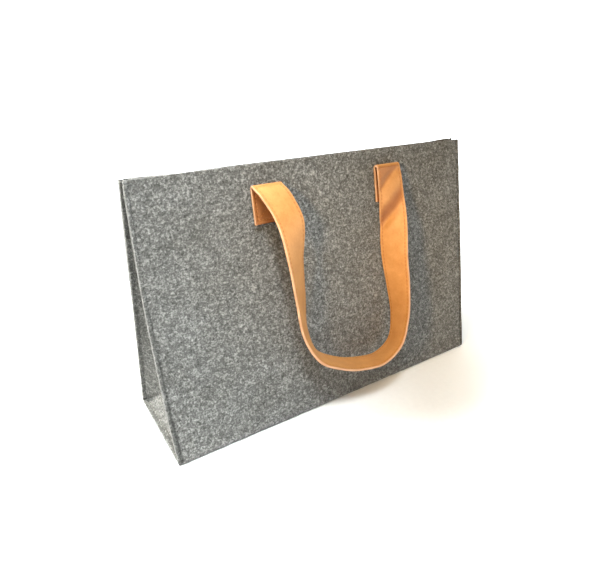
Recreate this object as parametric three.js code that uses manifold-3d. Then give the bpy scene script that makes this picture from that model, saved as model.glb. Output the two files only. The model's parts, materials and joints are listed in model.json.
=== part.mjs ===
// A felt knitting bag that stands on its own: two leaning panels and a bottom, a V-folded gusset at
// each end, and two leather-look strap handles that fold over their sewn end tabs.
// Millimetres, +Z up, +X along the width. The origin is on the ground under the middle of the
// bottom, and the front panel is on the -Y side. Each panel is drawn in a frame of its own: x along
// the width, y towards the inside of the bag, z up the panel from the fold at its foot.
import * as THREE from "three";
import { mergeVertices } from "three/addons/utils/BufferGeometryUtils.js";
import Module from "manifold-3d";

// Driving dimensions
const width = 400; // over the side seams
const slant = 272; // of a panel, from the ground to its top edge
const depth = 120; // of the bottom, over both panels
const felt = 2.5; // thickness
const topHalf = 5.8; // from the middle of the bag to a panel's outer face, at the closed top
const seam = 5; // how far a side seam stands out past the gusset's fold
const gap = 0.3; // between pieces that touch
const strapWidth = 32;
const strapThickness = 2.4;
const handleCentre = 4; // the middle between a handle's ends, to the right of the panel's middle
const handleSpan = 151; // between the middles of a handle's two ends
const foldDrop = 20; // from a panel's top edge down to the line that its handle folds on
const foldRadius = 2.6; // of the strap's middle where it folds over
const tabTop = 24; // from a panel's top edge down to where the sewn tab begins
const tabFoot = 56; // and to the tab's end
const threadWidth = 0.6;
const threadHeight = 0.5;
const threadInset = 2.5; // from a felt edge to the seam's thread
const strapThreadInset = 3; // from a strap's edge to its row of stitches
const boxInset = 4; // from a tab's edges to its box of stitches

// Worked out from them
const half = felt / 2;
const footY = depth / 2 - half; // the fold at a panel's foot, where it hinges
const panelTop = slant - half; // a panel's top edge, in its own frame
const lean = Math.asin((depth / 2 - topHalf) / slant);
const outerFace = -half; // a panel's outer face, in its own frame
const grooveWidth = threadWidth + 2 * gap;
const grooveDepth = threadHeight + gap;
const seamX = width / 2 - seam; // the line beside a side seam where the gusset folds inwards
const stripY = half + gap + half; // the middle of the gusset's felt where it lies on a panel
const foldY = outerFace - gap - strapThickness / 2 - foldRadius; // the axis that a handle folds on
const foldZ = panelTop - foldDrop;

const matte = (color, roughness) => new THREE.MeshStandardMaterial({ color, roughness });
const feltGrey = matte(0x7b7a76, 0.95);
const gussetGrey = matte(0x8a8984, 0.95);
const tan = matte(0xe39a4e, 0.55);
const greyThread = matte(0x4c4b48, 0.8);
const tanThread = matte(0xb36a28, 0.7);

const wasm = await Module();
wasm.setup();

const vec = (x, y, z) => new THREE.Vector3(x, y, z);
const radians = THREE.MathUtils.degToRad;

function piece(name, geometry, material) {
  const mesh = new THREE.Mesh(geometry, material);
  mesh.name = name;
  return mesh;
}

function block([x0, y0, z0], [x1, y1, z1]) {
  const box = new THREE.BoxGeometry(x1 - x0, y1 - y0, z1 - z0);
  return box.translate((x0 + x1) / 2, (y0 + y1) / 2, (z0 + z1) / 2);
}

// A geometry from a flat list of coordinates and a list of corner numbers.
function indexed(coordinates, corners) {
  const geometry = new THREE.BufferGeometry();
  geometry.setAttribute("position", new THREE.Float32BufferAttribute(coordinates, 3));
  geometry.setIndex(corners);
  geometry.computeVertexNormals();
  return geometry;
}

function solidOf(geometry) {
  const bare = geometry.clone();
  for (const name of ["normal", "uv"]) bare.deleteAttribute(name);
  const merged = mergeVertices(bare, 1e-4);
  const vertProperties = merged.attributes.position.array;
  const triVerts = new Uint32Array(merged.index.array);
  return new wasm.Manifold(new wasm.Mesh({ numProp: 3, vertProperties, triVerts }));
}

function geometryOf(solid) {
  const { vertProperties, triVerts } = solid.getMesh();
  return indexed(Array.from(vertProperties), Array.from(triVerts));
}

function join(shapes) {
  return geometryOf(shapes.map(solidOf).reduce((all, one) => all.add(one)));
}

function cut(shape, tools) {
  const cutOnce = (left, tool) => left.subtract(tool);
  return geometryOf(tools.map(solidOf).reduce(cutOnce, solidOf(shape)));
}

// A closed solid through rings of points, each ring a copy of the 2-D outline, anticlockwise as seen
// from the far end looking back.
function loft(outline, rings) {
  const count = outline.length;
  const last = (rings.length - 1) * count;
  const index = [];
  for (let i = 0; i < rings.length - 1; i++) {
    for (let k = 0; k < count; k++) {
      const a = i * count + k;
      const b = i * count + ((k + 1) % count);
      index.push(a, b, b + count, a, b + count, a + count);
    }
  }
  for (const [a, b, c] of THREE.ShapeUtils.triangulateShape(outline, [])) {
    index.push(a, c, b, last + a, last + b, last + c);
  }
  return indexed(
    rings.flat().flatMap((point) => point.toArray()),
    index,
  );
}

// A sheet of felt: middle(u, v) gives a point on its middle surface for u and v from 0 to 1.
function sheet(stepsU, stepsV, middle) {
  const small = 1e-3; // the step in u and v that a normal is measured over
  const points = [];
  for (const layerSign of [1, -1]) {
    for (let j = 0; j <= stepsV; j++) {
      for (let i = 0; i <= stepsU; i++) {
        const [u, v] = [i / stepsU, j / stepsV];
        const along = middle(u + small, v).sub(middle(u - small, v));
        const across = middle(u, v + small).sub(middle(u, v - small));
        const normal = along.cross(across).normalize();
        points.push(...middle(u, v).addScaledVector(normal, layerSign * half).toArray());
      }
    }
  }
  const row = stepsU + 1;
  const layer = row * (stepsV + 1);
  const index = [];
  for (let j = 0; j < stepsV; j++) {
    for (let i = 0; i < stepsU; i++) {
      const a = j * row + i;
      index.push(a, a + 1, a + row + 1, a, a + row + 1, a + row);
      const b = layer + a;
      index.push(b, b + row + 1, b + 1, b, b + row, b + row + 1);
    }
  }
  const rim = [];
  for (let i = 0; i < stepsU; i++) rim.push(i);
  for (let j = 0; j < stepsV; j++) rim.push(j * row + stepsU);
  for (let i = stepsU; i > 0; i--) rim.push(stepsV * row + i);
  for (let j = stepsV; j > 0; j--) rim.push(j * row);
  rim.forEach((a, k) => {
    const b = rim[(k + 1) % rim.length];
    index.push(a, a + layer, b + layer, a, b + layer, b);
  });
  return indexed(points, index);
}

// Turns an extruded outline so that its first axis is y, its second is z and it is drawn along x.
const drawnAlongX = new THREE.Matrix4().makeBasis(vec(0, 1, 0), vec(0, 0, 1), vec(1, 0, 0));

// Felt body

// A panel, with its foot rounded about the fold and a groove on its outer face for each seam's thread.
function panelGeometry() {
  const profile = new THREE.Shape();
  profile.moveTo(half, 0);
  profile.lineTo(half, panelTop);
  profile.lineTo(-half, panelTop);
  profile.lineTo(-half, 0);
  profile.absarc(0, 0, half, Math.PI, 2 * Math.PI, false);
  const settings = { depth: width, bevelEnabled: false, curveSegments: 8 };
  const slab = new THREE.ExtrudeGeometry(profile, settings);
  slab.applyMatrix4(drawnAlongX);
  slab.translate(-width / 2, 0, 0);
  return cut(slab, [seamGroove(-1), seamGroove(1)]);
}

const seamThreadX = width / 2 - threadInset;
const seamThreadFoot = 7;
const seamThreadTop = panelTop - 3;

// sign is -1 at the panel's left end and 1 at its right.
function seamGroove(sign) {
  const x = sign * seamThreadX;
  return block(
    [x - grooveWidth / 2, outerFace - 1, seamThreadFoot - gap],
    [x + grooveWidth / 2, outerFace + grooveDepth, seamThreadTop + gap],
  );
}

function seamThread(sign) {
  const x = sign * seamThreadX;
  return block(
    [x - threadWidth / 2, outerFace, seamThreadFoot],
    [x + threadWidth / 2, outerFace + threadHeight, seamThreadTop],
  );
}

const stripFoot = 6.5; // the seam strips start above the bottom's strip
const stripTop = panelTop - 1;

// The gusset's edge where it lies against a panel and is sewn to it.
function seamStrip(sign) {
  const [low, high] = [sign * seamX, (sign * width) / 2].sort((a, b) => a - b);
  return block([low, stripY - half, stripFoot], [high, stripY + half, stripTop]);
}

// The gusset's folds, in a panel's frame. A fold line rises at 45 degrees from each bottom corner to
// the point where both meet on the middle of the gusset; above it the gusset turns in by an angle that
// brings its middle crease onto the middle of the bag, so the angle shrinks towards the closed top.
const gussetHinge = seamX - 0.5;
const creaseClear = 1.5; // from the middle of the bag to the middle of the felt at the crease
const gussetHalf = footY - stripY - creaseClear; // from the side seam's fold to the crease
const foldPoint = gussetHalf + 3; // how far up the panel the two slanting folds meet
const slantingFoldGap = 3.2; // keeps the felt on both sides of a slanting fold clear of each other
const seamFoldGap = 1.6; // and beside the side seam's fold
const leastTurn = 0.004; // sine of the turn where the panels meet

// How far the gusset's edge at height z is from the middle of the bag, square to the panel.
function seamToMiddle(z) {
  return (footY - creaseClear - z * Math.sin(lean)) / Math.cos(lean) - stripY;
}

function turn(z) {
  return Math.asin(Math.max(leastTurn, seamToMiddle(Math.max(z, foldPoint)) / gussetHalf));
}

function gussetHalfGeometry(sign) {
  const middle = (u, v) => {
    const across = seamFoldGap + u * (gussetHalf - seamFoldGap);
    const low = across + slantingFoldGap;
    const z = low + v * (stripTop - low);
    const angle = turn(z);
    const x = gussetHinge - across * Math.cos(angle);
    return vec(sign * x, stripY + across * Math.sin(angle), z);
  };
  // the surface faces the same way at both ends of the bag
  const facing = sign < 0 ? middle : (u, v) => middle(1 - u, v);
  return sheet(6, 14, facing);
}

// Strap handles

const leftX = handleCentre - handleSpan / 2;
const rightX = handleCentre + handleSpan / 2;

// How far a strap turns over the top of its fold: the left one springs forward, the right one hangs
// straight down.
const leftOver = radians(150);
const rightOver = radians(180);

// The drop below the panel's top edge and the stand-off from its outer face where a fold ends.
function foldEnd(over) {
  const axis = outerFace - foldY;
  return [foldDrop - foldRadius * Math.sin(over), axis - foldRadius * Math.cos(over)];
}

// The way of a hanging strap's middle, between its two folds: x, the drop below the panel's top
// edge, the stand-off from its outer face, and how far the strap has turned, in degrees. It turns
// edge-on to the panel at the bottom of the loop, where its outer side faces up.
const loopRoute = [
  [leftX, ...foldEnd(leftOver), 0],
  [leftX, 32, 13.5, 0],
  [leftX + 4, 56, 23.5, 9],
  [leftX + 9, 92, 25.5, 22],
  [leftX + 14, 127, 21.5, 37],
  [leftX + 19, 165, 19, 50],
  [leftX + 27, 195, 19.5, 68],
  [leftX + 46, 217, 20.5, 84],
  [leftX + 75, 226.5, 20.5, 90],
  [leftX + 108, 228.5, 20.5, 95],
  [rightX - 19, 217, 19.5, 107],
  [rightX - 4, 192, 16.5, 130],
  [rightX + 2, 160, 12, 152],
  [rightX + 4, 125, 8.5, 166],
  [rightX + 4, 88, 7, 175],
  [rightX, 46, 6.6, 180],
  [rightX, ...foldEnd(rightOver), 180],
];
const loopSteps = 52;

const loopCurve = new THREE.CatmullRomCurve3(
  loopRoute.map(([x, drop, off]) => vec(x, outerFace - off, panelTop - drop)),
);

// Where the strap is at t, from 0 at one fold to 1 at the other: its middle, the direction of its
// width and the direction that its outer side faces.
function loopFrame(t) {
  const place = t * (loopRoute.length - 1);
  const i = Math.min(Math.floor(place), loopRoute.length - 2);
  const degrees = THREE.MathUtils.lerp(loopRoute[i][3], loopRoute[i + 1][3], place - i);
  const twist = radians(degrees);
  const along = loopCurve.getTangent(t);
  const across = vec(Math.cos(twist), Math.sin(twist), 0);
  across.addScaledVector(along, -across.dot(along)).normalize();
  return { middle: loopCurve.getPoint(t), across, out: along.clone().cross(across) };
}

// Sweeps an outline, given as [across, out] pairs anticlockwise, along the loop.
function alongLoop(outline) {
  const flat = outline.map(([a, o]) => new THREE.Vector2(a, o));
  const rings = [];
  for (let k = 0; k <= loopSteps; k++) {
    const { middle, across, out } = loopFrame(k / loopSteps);
    const place = (p) => middle.clone().addScaledVector(across, p.x).addScaledVector(out, p.y);
    rings.push(flat.map(place));
  }
  return loft(flat, rings);
}

// The strap's section, with a groove near each edge of its outer side for a row of stitches.
function strapOutline() {
  const [w, h] = [strapWidth / 2, strapThickness / 2];
  const far = w - strapThreadInset + grooveWidth / 2;
  const near = w - strapThreadInset - grooveWidth / 2;
  const floor = h - grooveDepth;
  const grooves = [[far, h], [far, floor], [near, floor], [near, h]];
  const others = grooves.map(([a, o]) => [-a, o]).reverse();
  return [[-w, -h], [w, -h], [w, h], ...grooves, ...others, [-w, h]];
}

function threadOutline(side) {
  const [a, h] = [side * (strapWidth / 2 - strapThreadInset), strapThickness / 2];
  const w = threadWidth / 2;
  return [[a - w, h - threadHeight], [a + w, h - threadHeight], [a + w, h], [a - w, h]];
}

const foldStop = radians(14); // a fold stops this far short of the loop's own end
const foldSteps = 9;

// The bend between a sewn tab and the loop: up from the tab and over by the given angle.
function foldGeometry(x, over) {
  const [w, h] = [strapWidth / 2, strapThickness / 2];
  const outline = [[-w, -h], [w, -h], [w, h], [-w, h]].map(([a, o]) => new THREE.Vector2(a, o));
  const arc = over - foldStop;
  const rings = [];
  const ring = (y, z, out) => outline.map((p) => vec(x + p.x, y + out.y * p.y, z + out.z * p.y));
  rings.push(ring(foldY + foldRadius, panelTop - tabTop + gap, vec(0, 1, 0)));
  for (let k = 0; k <= foldSteps; k++) {
    const angle = (k / foldSteps) * arc;
    const out = vec(0, Math.cos(angle), Math.sin(angle));
    rings.push(ring(foldY + foldRadius * out.y, foldZ + foldRadius * out.z, out));
  }
  return loft(outline, rings);
}

// The box with a cross that sews a tab down, as bars of the given width between two depths.
function boxCross(x, barWidth, y0, y1) {
  const [bx, bz] = [strapWidth, tabFoot - tabTop].map((across) => across / 2 - boxInset);
  const z = panelTop - (tabTop + tabFoot) / 2;
  const bar = (length, angle, dx, dz) => {
    const geometry = new THREE.BoxGeometry(length, y1 - y0, barWidth);
    return geometry.rotateY(angle).translate(x + dx, (y0 + y1) / 2, z + dz);
  };
  const [cross, tilt] = [2 * Math.hypot(bx, bz), Math.atan2(bz, bx)];
  return [
    bar(2 * bx + barWidth, 0, 0, bz),
    bar(2 * bx + barWidth, 0, 0, -bz),
    bar(2 * bz + barWidth, Math.PI / 2, bx, 0),
    bar(2 * bz + barWidth, Math.PI / 2, -bx, 0),
    bar(cross, tilt, 0, 0),
    bar(cross, -tilt, 0, 0),
  ];
}

function tabGeometry(x) {
  const back = outerFace - gap;
  const face = back - strapThickness;
  const low = [x - strapWidth / 2, face, panelTop - tabFoot];
  const slab = block(low, [x + strapWidth / 2, back, panelTop - tabTop]);
  return cut(slab, boxCross(x, grooveWidth, face - 1, face + grooveDepth));
}

function tabThread(x) {
  const face = outerFace - gap - strapThickness;
  return join(boxCross(x, threadWidth, face, face + threadHeight));
}

// One panel with all that is sewn to it. Its own left is the bag's left on the front and its right
// on the back, which is the same panel turned round.
function sewnPanel(face, left, right) {
  const group = new THREE.Group();
  group.position.set(0, -footY, half);
  group.rotation.x = -lean;
  group.add(piece(`${face}_panel`, panelGeometry(), feltGrey));
  for (const [end, sign] of [[left, -1], [right, 1]]) {
    group.add(piece(`${face}_${end}_seam_thread`, seamThread(sign), greyThread));
    group.add(piece(`${end}_gusset_${face}_seam_strip`, seamStrip(sign), gussetGrey));
    group.add(piece(`${end}_gusset_${face}_half`, gussetHalfGeometry(sign), gussetGrey));
  }
  const handleEnds = [
    [left, leftX, leftOver],
    [right, rightX, rightOver],
  ];
  for (const [end, x, over] of handleEnds) {
    group.add(piece(`${face}_handle_${end}_tab`, tabGeometry(x), tan));
    group.add(piece(`${face}_handle_${end}_tab_stitching`, tabThread(x), tanThread));
    group.add(piece(`${face}_handle_${end}_fold`, foldGeometry(x, over), tan));
  }
  group.add(piece(`${face}_handle_loop`, alongLoop(strapOutline()), tan));
  group.add(piece(`${face}_handle_outer_edge_stitching`, alongLoop(threadOutline(-1)), tanThread));
  group.add(piece(`${face}_handle_inner_edge_stitching`, alongLoop(threadOutline(1)), tanThread));
  return group;
}

// Bottom and the gussets' lower pieces

const bottomY = footY - half - 2 * gap; // the bottom's felt ends beside each panel's foot
const bottomStripY = bottomY - 1.5;
const bottomStripZ = felt + gap;
const bottomStripTop = bottomStripZ + felt;
const bottomThreadY = bottomStripY - 4;

function bottomStrip() {
  const low = [-width / 2, -bottomStripY, bottomStripZ];
  const high = [-seamX, bottomStripY, bottomStripTop];
  const [x, w] = [-seamThreadX, grooveWidth / 2];
  const groove = block(
    [x - w, -bottomThreadY - gap, bottomStripTop - grooveDepth],
    [x + w, bottomThreadY + gap, bottomStripTop + 1],
  );
  return cut(block(low, high), [groove]);
}

function bottomThread() {
  const [x, w] = [-seamThreadX, threadWidth / 2];
  const low = [x - w, -bottomThreadY, bottomStripTop - threadHeight];
  return block(low, [x + w, bottomThreadY, bottomStripTop]);
}

// The gusset's foot: a triangle between the two slanting folds, which leans inwards while the mouth
// is closed.
const footTilt = radians(36.9);
const footHingeX = -seamX + 1.7;
const footHingeZ = bottomStripZ + half + 0.25;
const footHalfBase = bottomStripY - slantingFoldGap;
const footHeight = footHalfBase - 1;

function gussetFoot(end) {
  const corners = [[-footHalfBase, 0], [footHalfBase, 0], [0, footHeight]];
  const outline = new THREE.Shape(corners.map(([y, z]) => new THREE.Vector2(y, z)));
  const plate = new THREE.ExtrudeGeometry(outline, { depth: felt, bevelEnabled: false });
  plate.translate(0, 0, -half);
  plate.applyMatrix4(drawnAlongX);
  const mesh = piece(`${end}_gusset_foot`, plate, gussetGrey);
  mesh.position.set(footHingeX, 0, footHingeZ);
  mesh.rotation.y = footTilt;
  return mesh;
}

function bagEnd(end) {
  const group = new THREE.Group();
  group.add(piece(`${end}_gusset_bottom_strip`, bottomStrip(), gussetGrey));
  group.add(piece(`${end}_bottom_seam_thread`, bottomThread(), greyThread));
  group.add(gussetFoot(end));
  return group;
}

const bag = new THREE.Group();
const bottom = block([-width / 2, -bottomY, 0], [width / 2, bottomY, felt]);
bag.add(piece("bottom_panel", bottom, feltGrey));

const front = sewnPanel("front", "left", "right");
const back = new THREE.Group();
back.rotation.z = Math.PI;
back.add(sewnPanel("back", "right", "left"));

const leftEnd = bagEnd("left");
const rightEnd = bagEnd("right");
rightEnd.rotation.z = Math.PI;

bag.add(front, back, leftEnd, rightEnd);

export default bag;
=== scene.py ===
"""The looks of a felt knitting bag: two leaning panels, a bottom, a folded gusset at each end and
two strap handles. Lengths are in millimetres until a mesh is made. Each panel is shaped in a frame
of its own: x along the width, y into the bag, z up the panel from the fold at its foot."""

import json
import math

import bpy
import numpy as np
from mathutils import Matrix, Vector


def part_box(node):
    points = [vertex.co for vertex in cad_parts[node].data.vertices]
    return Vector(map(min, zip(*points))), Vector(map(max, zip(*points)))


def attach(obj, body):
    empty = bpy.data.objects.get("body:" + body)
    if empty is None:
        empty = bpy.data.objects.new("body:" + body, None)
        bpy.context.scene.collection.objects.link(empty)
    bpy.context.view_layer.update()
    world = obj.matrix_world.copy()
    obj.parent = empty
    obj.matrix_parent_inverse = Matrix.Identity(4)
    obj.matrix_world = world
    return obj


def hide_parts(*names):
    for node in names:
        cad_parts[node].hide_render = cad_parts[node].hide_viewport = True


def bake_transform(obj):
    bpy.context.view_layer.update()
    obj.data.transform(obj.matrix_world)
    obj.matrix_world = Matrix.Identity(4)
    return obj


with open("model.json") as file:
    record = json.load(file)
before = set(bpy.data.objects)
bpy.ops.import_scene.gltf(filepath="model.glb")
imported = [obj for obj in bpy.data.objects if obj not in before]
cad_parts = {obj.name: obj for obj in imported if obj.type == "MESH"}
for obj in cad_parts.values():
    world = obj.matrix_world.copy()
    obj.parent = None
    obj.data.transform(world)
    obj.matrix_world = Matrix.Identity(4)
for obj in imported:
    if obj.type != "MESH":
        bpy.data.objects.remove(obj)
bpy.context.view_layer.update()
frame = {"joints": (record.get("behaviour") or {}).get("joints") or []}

MM = 0.001
joints = {j["name"]: j for j in frame["joints"]}
hinge = joints["mouth_opening"]

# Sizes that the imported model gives
LEAN = math.radians(hinge["range_deg"][1])
LEAN_SIN, LEAN_COS = math.sin(LEAN), math.cos(LEAN)
FOOT_Y = -hinge["pos_m"][1] / MM  # the fold at a panel's foot, from the bag's middle
FOOT_Z = hinge["pos_m"][2] / MM
HALF_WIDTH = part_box("front_panel")[1].x / MM
FELT = (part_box("bottom_panel")[1].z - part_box("bottom_panel")[0].z) / MM
HALF_FELT = FELT / 2
PANEL_TOP = (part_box("front_panel")[1].z / MM - FOOT_Z - HALF_FELT * LEAN_SIN) / LEAN_COS
SEAM_FOLD = abs(joints["left_gusset_front_fold"]["pos_m"][0]) / MM
FOOT_FOLD_X = abs(joints["left_gusset_foot_tilt"]["pos_m"][0]) / MM
FOOT_FOLD_Z = joints["left_gusset_foot_tilt"]["pos_m"][2] / MM
LEFT_TAB_X = sum(c.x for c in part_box("front_handle_left_tab")) / 2 / MM
RIGHT_TAB_X = sum(c.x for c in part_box("front_handle_right_tab")) / 2 / MM

STRAP_HALF = 16.0  # half of the strap's width
STRAP_THICK = 1.2  # half of its thickness
ROW_IN = 3.0  # from the strap's edge to its row of stitches
ROW_PITCH = 4.2
STITCH_IN = 3.4  # from a side edge to its row of stitches
STITCH_LONG = 3.0  # a stitch along a strap's edge
STRAP_THREAD = 0.36  # the threads' radii
FELT_THREAD = 0.42
THREAD_SUNK = 0.30  # how far the stitches stand inside a strap's face
BACK_PLACE = 700.0  # added to the back panel's material coordinates
HANDLE_PLACE = 3000.0  # added to the back handle's
LOOP_PLACE = 40  # where the front loop starts in its material's coordinates
GUSSET_PLACE = {"front": 500, "back": 900}
CREASE_SLANT = 0.95  # how steeply the creases under a loop's right fold run across the strap
FACES = ("front", "back")
ENDS = ("left", "right")


# ---------------------------------------------------------------- camera and light


def unit(vectors):
    return vectors / np.maximum(np.linalg.norm(vectors, axis=-1, keepdims=True), 1e-9)


def placed(columns):
    """The matrix of an object from its three axes and its place."""
    return Matrix([[float(c[row]) for c in columns] for row in range(3)] + [[0, 0, 0, 1]])


def add_camera():
    """The camera stands at the photograph's viewing angle."""
    data = bpy.data.cameras.new("camera")
    data.lens = 29.5
    data.sensor_width = 36
    camera = bpy.data.objects.new("camera", data)
    bpy.context.scene.collection.objects.link(camera)
    place = np.array([-0.29541, -0.41739, 0.36075])
    forward = unit(np.array([0.4927, 0.7584, -0.4268]))
    right = unit(np.cross(forward, [0, 0, 1]))
    up = np.cross(right, forward)
    roll = math.radians(0.146)
    turned_right = math.cos(roll) * right + math.sin(roll) * up
    turned_up = -math.sin(roll) * right + math.cos(roll) * up
    camera.matrix_world = placed((turned_right, turned_up, -forward, place))
    bpy.context.scene.camera = camera


def add_area_light(name, place, aim, size, power, colour, spread):
    data = bpy.data.lights.new(name, "AREA")
    data.shape = "DISK"
    data.size = size
    data.energy = power
    data.color = colour
    data.spread = math.radians(spread)
    light = bpy.data.objects.new(name, data)
    light.visible_camera = False
    bpy.context.scene.collection.objects.link(light)
    away = unit(np.array(place, float) - np.array(aim, float))
    side = unit(np.cross([0, 0, 1], away))
    light.matrix_world = placed((side, np.cross(away, side), away, place))


# name, place and aim in metres, diameter, power, colour, spread in degrees
LAMPS = (
    ("key", (-0.34, -0.40, 1.12), (-0.28, -0.05, 0.27), 0.30, 1.9, (0.90, 0.97, 1.0), 42),
    ("side", (-0.58, 0.30, 0.74), (-0.18, 0, 0.03), 0.26, 2.5, (1.0, 1.0, 0.96), 60),
    ("fill", (-0.10, -0.74, 0.80), (0.13, -0.03, 0.30), 0.35, 0.09, (1.0, 0.75, 0.40), 50),
    ("rake", (-0.75, -0.42, 0.55), (0.12, -0.07, 0.17), 0.12, 0.26, (1.0, 0.65, 0.27), 28),
)


def add_studio():
    world = bpy.data.worlds.new("studio")
    bpy.context.scene.world = world
    world.use_nodes = True
    background = world.node_tree.nodes["Background"]
    background.inputs["Color"].default_value = (1.0, 0.82, 0.55, 1)
    background.inputs["Strength"].default_value = 0.09
    for lamp in LAMPS:
        add_area_light(*lamp)
    sun = bpy.data.lights.new("ceiling", "SUN")
    sun.angle = math.radians(70)
    sun.energy = 1.0
    sun.color = (1.0, 0.87, 0.66)
    ceiling = bpy.data.objects.new("ceiling", sun)
    ceiling.rotation_euler = (math.radians(-12), 0, 0)
    bpy.context.scene.collection.objects.link(ceiling)
    bpy.context.scene.view_settings.view_transform = "Standard"


# ---------------------------------------------------------------- numbers


def smooth_noise(points, size, seed):
    """Noise from -1 to 1 at points in mm, with features of the given size."""
    cells = 32
    lattice = np.random.default_rng(seed).uniform(-1, 1, (cells,) * 3)
    cell = np.floor(points / size).astype(int)
    part = points / size - cell
    part = part * part * (3 - 2 * part)
    total = np.zeros(points.shape[:-1])
    for corner in np.ndindex(2, 2, 2):
        weight = np.prod(np.where(corner, part, 1 - part), axis=-1)
        i = (cell + corner) % cells
        total += weight * lattice[i[..., 0], i[..., 1], i[..., 2]]
    return total


def smoothstep(low, high, value):
    t = np.clip((value - low) / (high - low), 0, 1)
    return t * t * (3 - 2 * t)


def xyz(x, y, z):
    return np.stack(np.broadcast_arrays(x, y, z), -1).astype(float)


def to_world(points, face):
    """From a panel's own frame to the bag's."""
    x, y, z = np.moveaxis(np.asarray(points, float), -1, 0)
    world = xyz(
        x,
        -FOOT_Y + y * LEAN_COS + z * LEAN_SIN,
        FOOT_Z - y * LEAN_SIN + z * LEAN_COS,
    )
    return world if face == "front" else turned_round(world)


def turned_round(points):
    return points * np.array([-1.0, -1.0, 1.0])


# ---------------------------------------------------------------- meshes


def add_mesh(name, points, faces, places, materials, material_of=None, flat_faces=0):
    """A mesh from points in mm, smooth but for its last flat_faces faces. places are the flat
    material's own coordinates, in mm."""
    mesh = bpy.data.meshes.new(name)
    mesh.from_pydata((points * MM).tolist(), [], faces)
    for material in materials:
        mesh.materials.append(material)
    if material_of is not None:
        mesh.polygons.foreach_set("material_index", material_of)
    smooth = np.arange(len(mesh.polygons)) < len(mesh.polygons) - flat_faces
    mesh.polygons.foreach_set("use_smooth", smooth)
    attribute = mesh.attributes.new("place", "FLOAT_VECTOR", "POINT")
    attribute.data.foreach_set("vector", np.asarray(places, np.float32).ravel())
    mesh.update()
    piece = bpy.data.objects.new(name, mesh)
    bpy.context.scene.collection.objects.link(piece)
    return piece


def grid_faces(rows, columns):
    """Quads over points numbered row * columns + column, facing rows' x columns' direction."""
    i, j = np.meshgrid(np.arange(rows - 1), np.arange(columns - 1), indexing="ij")
    a = (i * columns + j).ravel()
    return np.stack([a, a + columns, a + columns + 1, a + 1], -1)


def grid_rim(rows, columns):
    """The border's point numbers, anticlockwise about the facing side, and each one's side."""
    first = [i * columns for i in range(rows)]
    far = [(rows - 1) * columns + j for j in range(1, columns)]
    last = [i * columns + columns - 1 for i in range(rows - 2, -1, -1)]
    near = list(range(columns - 2, 0, -1))
    sides = [0] * len(first) + [1] * len(far) + [2] * len(last) + [3] * len(near)
    return np.array(first + far + last + near), np.array(sides)


# Edge sections, as (outwards, up) in shares of half the felt's thickness, from face to face
CUT_EDGE = np.array(
    [(0.26, 0.98), (0.40, 0.80), (0.44, 0.3), (0.44, -0.3), (0.40, -0.80), (0.26, -0.98)]
)
KNUCKLE = np.array([(math.sin(a), math.cos(a)) for a in np.radians([25, 52, 78, 102, 128, 155])])
FLAT_EDGE = np.array([(0, 0.8), (0, 0.5), (0, 0.2), (0, -0.2), (0, -0.5), (0, -0.8)])


def thicken(points, faces, normals, rim, edges, outer, inner, fuzz=None):
    """Closes a middle surface into a solid sheet: outer and inner are the thickness on its two
    sides, rim its border and edges the edge section at each rim point."""
    count = len(points)
    top = points + normals * outer[:, None]
    bottom = points - normals * inner[:, None]
    ring = points[rim]
    ring_normal = normals[rim]
    outwards = unit(np.cross(np.roll(ring, -1, 0) - ring, ring_normal))
    before = np.roll(outwards, 1, 0)
    mitre = (outwards + before) / (1 + (outwards * before).sum(-1, keepdims=True)).clip(0.3)
    half = (outer + inner)[rim][:, None] / 2
    middle = ring + ring_normal * ((outer - inner)[rim][:, None] / 2)
    rings = []
    for k in range(edges.shape[1]):
        out, up = edges[:, k, 0:1], edges[:, k, 1:2]
        reach = out if fuzz is None else out + fuzz[:, k : k + 1]
        rings.append(middle + mitre * reach * half + ring_normal * up * half)
    all_points = np.concatenate([top, bottom, *rings])
    size = len(rim)
    numbers = [rim]
    numbers += [2 * count + k * size + np.arange(size) for k in range(len(rings))]
    numbers += [rim + count]
    all_faces = [tuple(f) for f in faces] + [tuple(f[::-1] + count) for f in faces]
    for upper, lower in zip(numbers, numbers[1:]):
        after_upper, after_lower = np.roll(upper, -1), np.roll(lower, -1)
        all_faces += list(zip(upper, lower, after_lower, after_upper))
    return all_points, [tuple(int(i) for i in f) for f in all_faces]


def show(piece, stands_for, body):
    """Hides the CAD node that a piece replaces, if any, and attaches the piece to the body it rides
    on.
    """
    if stands_for:
        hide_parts(stands_for)
    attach(piece, body)


def surface_normals(grid):
    return unit(np.cross(np.gradient(grid, axis=0), np.gradient(grid, axis=1)))


def felt_sheet(name, grid, place, edges, material, outer=0.0, inner=0.0, seed=1):
    """A sheet of felt over a grid of middle points. edges gives the edge section on the grid's
    first column, last row, last column and first row. outer and inner add to its faces."""
    rows, columns = grid.shape[:2]
    normals = surface_normals(grid).reshape(-1, 3)
    points = grid.reshape(-1, 3)
    rim, sides = grid_rim(rows, columns)
    flat = place.reshape(-1, 3)
    worn = 0.10 * smooth_noise(flat, 3.1, seed) + 0.06 * smooth_noise(flat, 1.7, seed + 1)
    added = [np.broadcast_to(a, (rows, columns)).ravel() + HALF_FELT for a in (outer, inner)]
    sections = np.array(edges)[sides]
    wear = np.stack([smooth_noise(flat[rim] + 40 * k, 1.6, seed + 2) for k in range(6)], 1)
    fuzz = wear * 0.10 * (sections[:, :, 0] > 0)
    all_points, faces = thicken(
        points,
        grid_faces(rows, columns),
        normals,
        rim,
        sections,
        added[0] + worn,
        added[1] + worn[::-1],
        fuzz,
    )
    depth = np.array([0.0, 0.0, 1.0])
    layers = [flat + depth * HALF_FELT, flat - depth * HALF_FELT]
    layers += [flat[rim] + depth * HALF_FELT * CUT_EDGE[k][1] for k in range(6)]
    return add_mesh(name, all_points, faces, np.concatenate(layers), [material])


# ---------------------------------------------------------------- materials


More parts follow.
